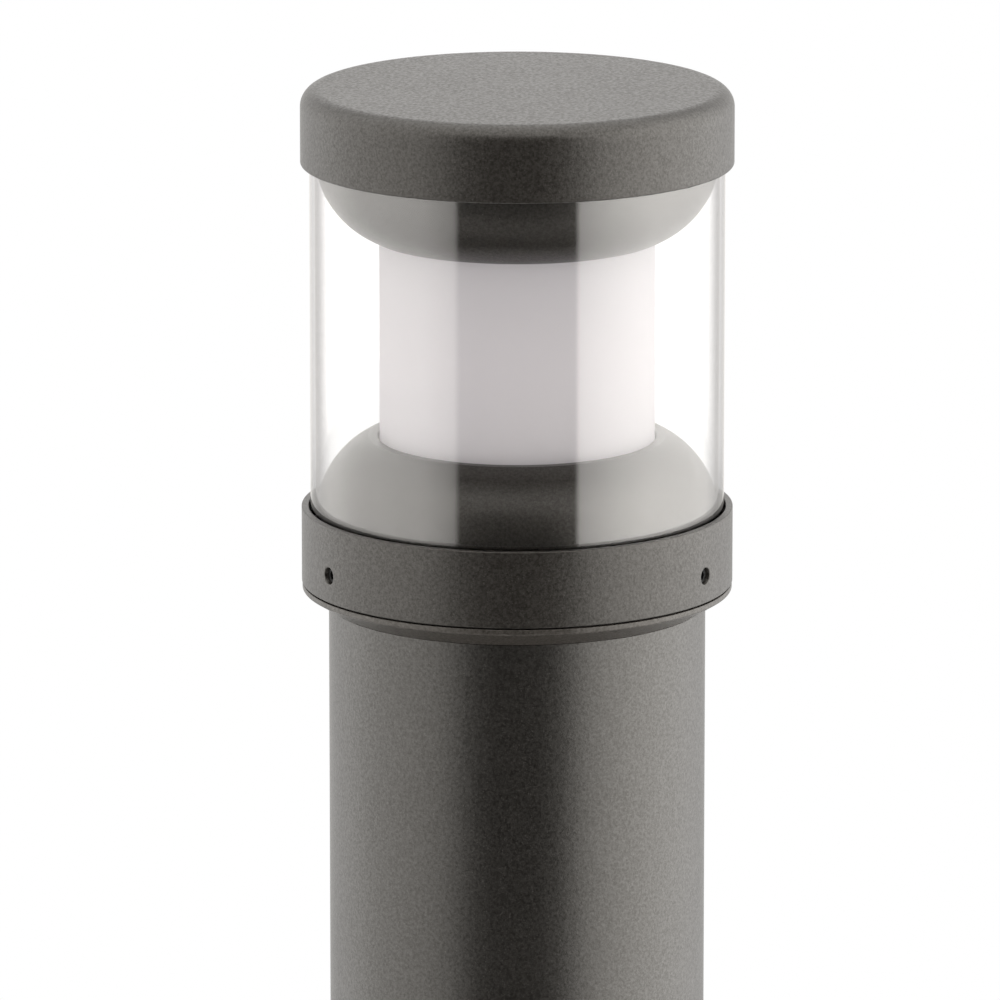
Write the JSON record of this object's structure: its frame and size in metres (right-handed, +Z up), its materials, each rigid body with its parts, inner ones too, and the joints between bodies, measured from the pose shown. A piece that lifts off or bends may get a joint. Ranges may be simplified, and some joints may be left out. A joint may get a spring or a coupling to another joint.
{
  "type": "bollard light",
  "caption": "Round post light: tube post on a bolted foot, with a lift-off lantern head of clear tube, opal inner tube and two flared domes.",
  "frame": {"origin": "centre of the foot's underside, on the ground", "axes": "+Z up along the post, -Y to the front; the third set screw is at the back, +Y"},
  "size_m": [0.2, 0.2, 1],
  "materials": {
    "graphite_coat": "semi-matt graphite powder coat with a fine speckled texture",
    "clear_acrylic": "clear polished tube",
    "opal_acrylic": "opal white, satin",
    "seal_rubber": "black EPDM",
    "stainless": "plain stainless steel",
    "black_steel": "black oxide steel",
    "galvanised_steel": "zinc plated sheet",
    "lamp_ceramic": "white glazed steatite",
    "terminal_brass": "plain brass",
    "lamp_cap_metal": "bright cap",
    "lamp_plastic": "white lamp body",
    "lamp_diffuser": "frosted white lamp globe",
    "terminal_plastic": "ivory polyamide",
    "lead_insulation": "brown silicone insulation",
    "earth_insulation": "green and yellow insulation"
  },
  "bodies": {
    "post": {"base_flange": "graphite_coat", "foot_spigot": "graphite_coat", "post_tube": "graphite_coat", "foot_screws": "stainless", "neck_casting": "graphite_coat", "neck_sealing_ring": "seal_rubber", "lampholder": "lamp_ceramic", "lampholder_contact": "terminal_brass", "lampholder_screws": "stainless", "gear_tray": "galvanised_steel", "tray_screws": "stainless", "terminal_block": "terminal_plastic", "terminal_screws": "terminal_brass", "cable_clamp": "terminal_plastic", "cable_clamp_screws": "stainless", "earth_lug": "terminal_brass", "earth_bolt": "stainless", "earth_nut": "stainless", "lamp_leads": "lead_insulation", "earth_lead": "earth_insulation"},
    "lamp": {"lamp_contact": "terminal_brass", "lamp_cap": "lamp_cap_metal", "lamp_body": "lamp_plastic", "lamp_globe": "lamp_diffuser"},
    "head": {"collar_ring": "graphite_coat", "top_cap": "graphite_coat", "upper_dome": "graphite_coat", "lower_dome": "graphite_coat", "clear_tube": "clear_acrylic", "collar_gasket": "seal_rubber", "cap_gasket": "seal_rubber", "opal_tube": "opal_acrylic", "lower_opal_seal": "seal_rubber", "upper_opal_seal": "seal_rubber", "tie_rods": "stainless", "tie_washers": "stainless", "tie_nuts": "stainless"},
    "screw_rear": {"set_screw_rear": "black_steel"},
    "screw_left": {"set_screw_left": "black_steel"},
    "screw_right": {"set_screw_right": "black_steel"}
  },
  "joints": [
    {"name": "head_lift", "type": "slide", "parent": "post", "child": "head", "axis": [0, 0, 1], "range_m": [0, 0.145]},
    {"name": "set_screw_rear_out", "type": "slide", "parent": "head", "child": "screw_rear", "axis": [0, 1, 0], "range_m": [0, 0.004]},
    {"name": "set_screw_left_out", "type": "slide", "parent": "head", "child": "screw_left", "axis": [-0.866, -0.5, 0], "range_m": [0, 0.004]},
    {"name": "set_screw_right_out", "type": "slide", "parent": "head", "child": "screw_right", "axis": [0.866, -0.5, 0], "range_m": [0, 0.004]},
    {"name": "lamp_unscrew", "type": "hinge", "parent": "post", "child": "lamp", "pos_m": [0, 0, 0.85], "axis": [0, 0, 1], "range_deg": [0, 1260]}
  ]
}
